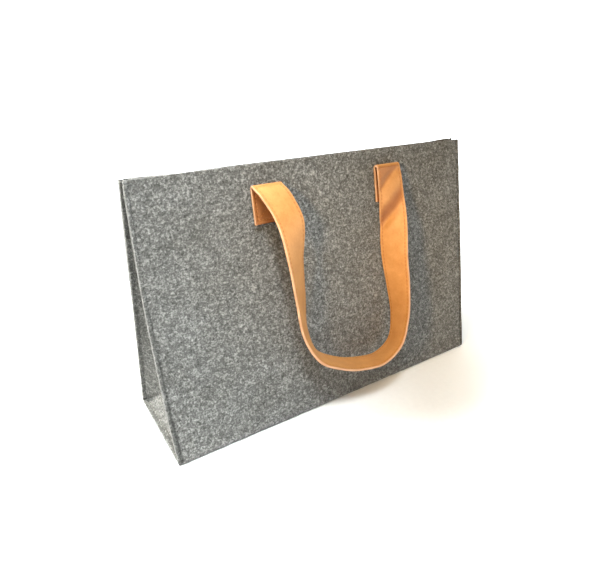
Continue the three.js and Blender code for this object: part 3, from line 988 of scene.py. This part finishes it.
# x, drop below the panel's top edge, stand-off from its outer face, and turn in degrees
LOOP_ROUTE = np.array(
    [
        (LEFT_TAB_X, *fold_end(LEFT_OVER, LEFT_DROP), 0),
        (LEFT_TAB_X + 2.4, 28.7, 14.3, 0),
        (LEFT_TAB_X + 8.8, 55.8, 26.0, 10),
        (LEFT_TAB_X + 9.7, 94.6, 27.0, 36),
        (LEFT_TAB_X + 13.2, 131.7, 22.3, 44),
        (LEFT_TAB_X + 16.4, 170.9, 18.8, 55),
        (LEFT_TAB_X + 28.3, 199.8, 18.9, 65),
        (LEFT_TAB_X + 50.6, 215.3, 18.9, 67),
        (LEFT_TAB_X + 77.9, 225.5, 19.1, 68),
        (LEFT_TAB_X + 109, 227.7, 21.7, 68),
        (RIGHT_TAB_X - 19.9, 214.4, 23.4, 74),
        (RIGHT_TAB_X - 8.9, 187.2, 21.3, 86),
        (RIGHT_TAB_X - 6.4, 151.2, 18.8, 101),
        (RIGHT_TAB_X - 5.6, 116.5, 15.1, 113),
        (RIGHT_TAB_X - 1.6, 83.0, 11.6, 126),
        (RIGHT_TAB_X + 0.2, 43.9, 9.0, 166),
        (RIGHT_TAB_X, *fold_end(RIGHT_OVER, RIGHT_DROP), 180),
    ]
)


def curve_through(points, leave, arrive, per_span):
    """A centripetal Catmull-Rom curve through points with given end directions, and the place of
    each sample among them."""
    first = points[0] - leave * np.linalg.norm(points[1] - points[0])
    last = points[-1] + arrive * np.linalg.norm(points[-1] - points[-2])
    padded = np.concatenate([[first], points, [last]])
    samples, places = [], []
    for i in range(len(points) - 1):
        p0, p1, p2, p3 = padded[i : i + 4]
        d0, d1, d2 = (np.linalg.norm(b - a) ** 0.5 for a, b in ((p0, p1), (p1, p2), (p2, p3)))
        leave = ((p1 - p0) / d0 - (p2 - p0) / (d0 + d1) + (p2 - p1) / d1) * d1
        arrive = ((p2 - p1) / d1 - (p3 - p1) / (d1 + d2) + (p3 - p2) / d2) * d1
        for k in range(per_span + (i == len(points) - 2)):
            t = k / per_span
            bend = (-3 * p1 + 3 * p2 - 2 * leave - arrive) * t**2
            samples.append(p1 + leave * t + bend + (2 * p1 - 2 * p2 + leave + arrive) * t**3)
            places.append(i + t)
    return np.array(samples), np.array(places)


def spaced(points, others, step):
    """Samples of a path at even steps along it, its other values with them, and their distances."""
    lengths = np.concatenate([[0], np.cumsum(np.linalg.norm(np.diff(points, axis=0), axis=1))])
    even = even_steps(0, lengths[-1], step)
    both = np.concatenate([points, others], axis=1)
    return np.stack([np.interp(even, lengths, both[:, k]) for k in range(both.shape[1])], 1), even


def loop_frames(step=1.05):
    """Along the loop: its middle, the direction of its width, its outer side's and its distance."""
    route = xyz(LOOP_ROUTE[:, 0], -HALF_FELT - LOOP_ROUTE[:, 2], PANEL_TOP - LOOP_ROUTE[:, 1])
    leave = np.array([0, -math.sin(LEFT_OVER), math.cos(LEFT_OVER)])
    arrive = -np.array([0, -math.sin(RIGHT_OVER), math.cos(RIGHT_OVER)])
    points, places = curve_through(route, leave, arrive, 60)
    degrees = np.interp(places, np.arange(len(route)), LOOP_ROUTE[:, 3])
    kernel = np.hanning(61) / np.hanning(61).sum()
    degrees = np.convolve(np.pad(degrees, 30, mode="edge"), kernel, mode="valid")
    even, distance = spaced(points, degrees[:, None], step)
    middle, twist = even[:, :3], np.radians(even[:, 3])
    along = unit(np.gradient(middle, axis=0))
    across = xyz(np.cos(twist), np.sin(twist), 0 * twist)
    free = smoothstep(0, 24, distance) * smoothstep(0, 24, distance[-1] - distance)
    across = unit(across - along * (across * along).sum(-1, keepdims=True) * free[:, None])
    narrow = 1 - 0.10 * np.exp(-(((distance[-1] - distance - 38) / 24.0) ** 2))  # by the crease
    return middle, across * narrow[:, None], unit(np.cross(along, across)), distance


def end_frames(x, over, drop, step=1.05):
    """From a tab's foot up and over its fold: middle, width's direction, outer side's, distance."""
    straight = PANEL_TOP - TAB_FOOT
    axis_z = PANEL_TOP - drop
    up = even_steps(straight, axis_z, step)[:-1]
    angles = np.linspace(0, over, 15)
    flat = 0 * up + FOLD_AXIS_Y + FOLD_RADIUS
    y = np.concatenate([flat, FOLD_AXIS_Y + FOLD_RADIUS * np.cos(angles)])
    z = np.concatenate([up, axis_z + FOLD_RADIUS * np.sin(angles)])
    turned = np.concatenate([0 * up, angles])
    middle = xyz(x, y, z)
    across = np.broadcast_to([1.0, 0.0, 0.0], middle.shape)
    distance = np.concatenate([up - straight, axis_z - straight + angles * FOLD_RADIUS])
    return middle, across, xyz(0, np.cos(turned), np.sin(turned)), distance


def strap_section():
    """Points round the strap as (across, out), from the outer side's right edge leftwards and back
    along the inner side, and whether each point is on a cut edge."""
    row = STRAP_HALF - ROW_IN
    near = [15.3, 14.7, 14.0, row + 0.55, row + 0.28, row, row - 0.28, row - 0.55]
    near += [11.9, 10.5, 8, 5.4, 2.7]
    face = np.array(near + [0.0] + [-a for a in near[::-1]])
    edge = [(15.62, 0.93), (15.88, 0.72), (16.0, 0.35)]
    edge += [(a, -o) for a, o in edge[::-1]]
    top = [(a, 1.0) for a in face]
    right = [(a, o) for a, o in edge[::-1]]
    left = [(-a, o) for a, o in edge]
    low = [(a, -1.0) for a in face[::-1]]
    section = np.array(top + left + low + right)
    on_edge = np.array([False] * len(top) + [True] * 6 + [False] * len(low) + [True] * 6)
    return section * [1.0, STRAP_THICK], on_edge


def row_channel(across, distance):
    """How deep the rows of stitches pull the strap's two faces in."""
    channel = np.exp(-(((np.abs(across) - STRAP_HALF + ROW_IN) / 0.5) ** 2))
    return channel * (0.20 + 0.13 * np.cos(2 * math.pi * distance / ROW_PITCH))


def strap_body(name, frames, offset, way=1, ripple=None, relief=None):
    """A closed length of strap along frames. ripple(across, distance) moves it bodily out of its
    own plane and relief(across, distance, inner side) dents one face. The material's own
    coordinates start from offset, and way is -1 where they run backwards."""
    middle, across, out, distance = frames
    section, on_edge = strap_section()
    a, o = section[:, 0][None, :], section[:, 1][None, :]
    s = distance[:, None]
    dent = row_channel(a, s)
    if relief is not None:
        dent = dent + relief(a, s, o < 0)
    dent = np.where(np.abs(o) > 0.99 * STRAP_THICK, dent, 0)
    pebble = 0.05 * smooth_noise(xyz(a + 0 * s, s + offset + 0 * a, o + 0 * s), 5.0, 7)
    thick = o - np.sign(o) * dent + np.sign(o) * pebble * (np.abs(o) > 1.0)
    lift = thick if ripple is None else thick + ripple(a, s)
    points = middle[:, None] + across[:, None] * a[..., None] + out[:, None] * lift[..., None]
    count = len(section)
    rings = len(middle)
    i, k = np.meshgrid(np.arange(rings - 1), np.arange(count), indexing="ij")
    low, high = i * count + k, i * count + (k + 1) % count
    faces = np.stack([low, low + count, high + count, high], -1).reshape(-1, 4)
    edge_face = np.broadcast_to(on_edge[k] | on_edge[(k + 1) % count], i.shape).ravel()
    places = xyz(offset + way * s + 0 * a, way * a + 0 * s, o + 0 * s).reshape(-1, 3)
    points = points.reshape(-1, 3)
    caps = cap_faces(count, rings)
    return add_mesh(
        name,
        points,
        [tuple(int(v) for v in f) for f in faces] + caps,
        places,
        [strap, strap_edge],
        np.concatenate([edge_face, np.ones(len(caps), bool)]).astype(np.int32),
        len(caps),
    )


def cap_faces(count, rings):
    """Closes both ends of a strap with strips between the faces of its section of count points."""
    face = (count - 12) // 2
    upper = list(range(face))
    lower = list(range(2 * face + 5, face + 5, -1))
    caps = []
    for start, flip in ((0, False), ((rings - 1) * count, True)):
        strips = [(upper[i], upper[i + 1], lower[i + 1], lower[i]) for i in range(face - 1)]
        strips.append((*range(face - 1, face + 7),))
        strips.append((*range(2 * face + 5, count), 0))
        for strip in strips:
            numbers = tuple(int(start + v) for v in strip)
            caps.append(numbers if flip else numbers[::-1])
    return caps


def loop_ripple(across, distance):
    """Creases that the folds send down both ends of the loop, and the strap's slight waviness."""
    from_right = LOOP_LENGTH - distance
    slant = from_right - CREASE_SLANT * across
    crease = -4.6 * smoothstep(25, 47, slant) * (1 - smoothstep(47, 62, slant))
    crease = crease - 2.4 * np.exp(-(((slant - 9) / 5.0) ** 2)) * smoothstep(0, 9, from_right)
    crease = crease * (1 - 0.65 * smoothstep(8, 15.5, np.abs(across)))
    left = 0.8 * np.exp(-(((distance - 0.5 * across - 34) / 10.0) ** 2))
    left = left * smoothstep(0, 14, distance)
    wave = 0.35 * np.sin(distance / 31.0) * np.sin(across / 14.0 + distance / 47.0)
    wave = wave * smoothstep(0, 40, distance) * smoothstep(0, 40, from_right)
    return crease + left + wave


def tab_relief(across, distance, inner):
    """The box of stitches with its cross quilts the tab's visible side."""
    half_w, half_l = TAB_BOX
    z = distance - (TAB_FOOT - TAB_TOP) / 2
    on_box = np.minimum(np.abs(np.abs(across) - half_w), np.abs(np.abs(z) - half_l))
    in_box = (np.abs(across) < half_w + 0.8) & (np.abs(z) < half_l + 0.8)
    slope = math.hypot(half_w, half_l)
    crosses = np.minimum(
        np.abs(across * half_l - z * half_w), np.abs(across * half_l + z * half_w)
    ) / slope
    line = np.where(in_box, np.minimum(on_box, crosses), 9)
    groove = 0.5 * np.exp(-((line / 0.8) ** 2))
    pillow = -0.85 * np.clip(line / 4.5, 0, 1) * in_box
    return np.where(inner, groove + pillow, 0)


def handle_rows(frames, start, leave):
    """Where the stitches of a row stand along a strap, and the strap's directions there."""
    middle, across, out, distance = frames
    along = unit(np.gradient(middle, axis=0))
    centres_at = np.arange(start, distance[-1] - leave, ROW_PITCH)
    columns = np.concatenate([middle, along, across, out], axis=1)
    at = np.stack([np.interp(centres_at, distance, columns[:, k]) for k in range(12)], 1)
    m, al, ac, ou = at[:, :3], unit(at[:, 3:6]), at[:, 6:9], unit(at[:, 9:])
    return centres_at, m, al, ac, ou


LOOP = loop_frames()
LOOP_LENGTH = LOOP[3][-1]
strap = strap_material("strap", (0.405, 0.177, 0.050), (0.475, 0.226, 0.070), (0.555, 0.279, 0.094))


def frames_in(frames, face):
    """A strap's frames moved from a panel's own frame to the bag's."""
    middle, across, out, distance = frames
    origin = to_world(np.zeros(3), face)
    return (
        to_world(middle, face),
        to_world(across, face) - origin,
        to_world(out, face) - origin,
        distance,
    )


def loop_place(face):
    """Where a loop starts in its material's own coordinates."""
    return LOOP_PLACE + HANDLE_PLACE * FACES.index(face)


def loop_rows(face):
    """The loop's rows of stitches. On the outer side the left row is the handle's outer edge."""
    frames = frames_in(LOOP, face)
    centres_at, m, al, ac, ou = handle_rows(frames, ROW_PITCH / 2, ROW_PITCH / 2)
    for row, sign in (("outer", -1), ("inner", 1)):
        a = sign * (STRAP_HALF - ROW_IN)
        rise = loop_ripple(np.array(a), centres_at)[:, None]
        both = []
        for facing in (1, -1):
            height = STRAP_THICK - THREAD_SUNK
            both.append((m + ac * a + ou * (rise + facing * height), al, ou * facing))
        centres, along, out = (np.concatenate(parts) for parts in zip(*both))
        name = f"{face}_handle_{row}_edge_stitches"
        piece = stitch_mesh(
            name, centres, along, out, STITCH_LONG, STRAP_THREAD, strap_thread
        )
        show(piece, f"{face}_handle_{row}_edge_stitching", f"{face}_handle")


def own_end(face, end):
    """A handle's end in its panel's own frame: x and how far the strap turns over."""
    own_left = (end == "left") == (face == "front")
    return (LEFT_TAB_X, LEFT_OVER, LEFT_DROP) if own_left else (RIGHT_TAB_X, RIGHT_OVER, RIGHT_DROP)


def blend_fold(piece, face):
    low = to_world(np.array([0, FOLD_AXIS_Y + FOLD_RADIUS - STRAP_THICK - 0.1, FOLD_AXIS_Z]), face)
    high = to_world(np.array([0, FOLD_AXIS_Y - FOLD_RADIUS + STRAP_THICK + 0.2, FOLD_AXIS_Z]), face)
    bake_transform(piece)


def split_frames(frames, at):
    """Cuts frames in two at a distance, with the cut frame in both halves."""
    k = int(np.argmin(np.abs(frames[3] - at)))
    lower = tuple(f[: k + 1] for f in frames)
    upper = tuple(f[k:] for f in frames)
    return lower, upper


def handle_end(face, end):
    """The sewn tab and the fold over it."""
    x, over, drop = own_end(face, end)
    whole = frames_in(end_frames(x, over, drop), face)
    tab, fold = split_frames(whole, TAB_FOOT - TAB_TOP + 0.6)
    total = whole[3][-1]
    way = 1 if over == LEFT_OVER else -1
    offset = loop_place(face) + (-total if way > 0 else LOOP_LENGTH + total)
    piece = strap_body(f"{face}_handle_{end}_tab_strap", tab, offset, way, relief=tab_relief)
    show(piece, f"{face}_handle_{end}_tab", face)
    piece = strap_body(f"{face}_handle_{end}_fold_strap", fold, offset, way)
    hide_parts(f"{face}_handle_{end}_fold")
    blend_fold(piece, face)
    first = ((total if way > 0 else LOOP_LENGTH + total) + way * ROW_PITCH / 2) % ROW_PITCH
    centres_at, m, al, ac, ou = handle_rows(whole, first, STITCH_LONG / 2)
    keep = centres_at > TAB_FOOT - TAB_TOP + STITCH_LONG / 2
    parts = []
    for sign in (-1, 1):
        place = m + ac * sign * (STRAP_HALF - ROW_IN) + ou * (STRAP_THICK - THREAD_SUNK)
        parts.append((place[keep], al[keep], ou[keep]))
    centres, along, out = (np.concatenate(p) for p in zip(*parts))
    name = f"{face}_handle_{end}_fold_stitches"
    piece = stitch_mesh(name, centres, along, out, STITCH_LONG, STRAP_THREAD, strap_thread)
    blend_fold(piece, face)
    tab_stitches(face, end, x)


def tab_stitches(face, end, x):
    """The box with a cross, stitch by stitch, on the tab's visible side."""
    z = PANEL_TOP - (TAB_TOP + TAB_FOOT) / 2
    corners = [np.array(c) * TAB_BOX for c in ((-1, -1), (1, -1), (1, 1), (-1, 1))]
    lines = [(corners[i], corners[(i + 1) % 4]) for i in range(4)]
    lines += [(corners[0], corners[2]), (corners[1], corners[3])]
    centres, along = [], []
    for a, b in lines:
        length = np.linalg.norm(b - a)
        count = round(length / 3.4)
        for k in range(count):
            centres.append(a + (b - a) * (k + 0.5) / count)
            along.append((b - a) / length)
    centres, along = np.array(centres), np.array(along)
    y = FOLD_AXIS_Y + FOLD_RADIUS - STRAP_THICK + THREAD_SUNK
    own = xyz(x + centres[:, 0], y, z + centres[:, 1])
    ahead = to_world(own + xyz(along[:, 0], 0, along[:, 1]), face) - to_world(own, face)
    out = to_world(own - [0, 1, 0], face) - to_world(own, face)
    name = f"{face}_handle_{end}_tab_stitches"
    piece = stitch_mesh(name, to_world(own, face), ahead, out, 2.5, STRAP_THREAD, strap_thread)
    show(piece, f"{face}_handle_{end}_tab_stitching", face)


def handle_loop(face):
    frames = frames_in(LOOP, face)
    piece = strap_body(f"{face}_handle_loop_strap", frames, loop_place(face), ripple=loop_ripple)
    show(piece, f"{face}_handle_loop", f"{face}_handle")


bottom_felt()
for face in FACES:
    panel_felt(face)
    for end in ENDS:
        gusset_edge(face, end)
        gusset_half(face, end)
        side_seam_stitches(face, end)
        handle_end(face, end)
    handle_loop(face)
    loop_rows(face)
for end in ENDS:
    gusset_bottom_edge(end)
    gusset_foot(end)
    bottom_seam_stitches(end)


def add_floor():
    """A round floor that curves up into a low wall far behind the bag."""
    radius, wall, curve = 3200.0, 1500.0, 900.0
    arc = np.linspace(0, math.pi / 2, 12)
    out = np.concatenate([[0.0, 500, 1200, 1800], radius - curve + curve * np.sin(arc), [radius]])
    up = np.concatenate([[0.0, 0, 0, 0], curve - curve * np.cos(arc), [wall]])
    around = np.linspace(0, 2 * math.pi, 65)[:-1]
    points = xyz(
        out[1:, None] * np.cos(around), out[1:, None] * np.sin(around), up[1:, None] + 0 * around
    ).reshape(-1, 3)
    points = np.concatenate([points, [[0, 0, 0]]])
    count = len(around)
    faces = []
    for ring in range(len(out) - 2):
        for k in range(count):
            a, b = ring * count + k, ring * count + (k + 1) % count
            faces.append((a, b, b + count, a + count)[::-1])
    hub = len(points) - 1
    faces += [(k, (k + 1) % count, hub) for k in range(count)]
    floor = add_mesh("floor", points, faces, points, [floor_material()])


add_floor()
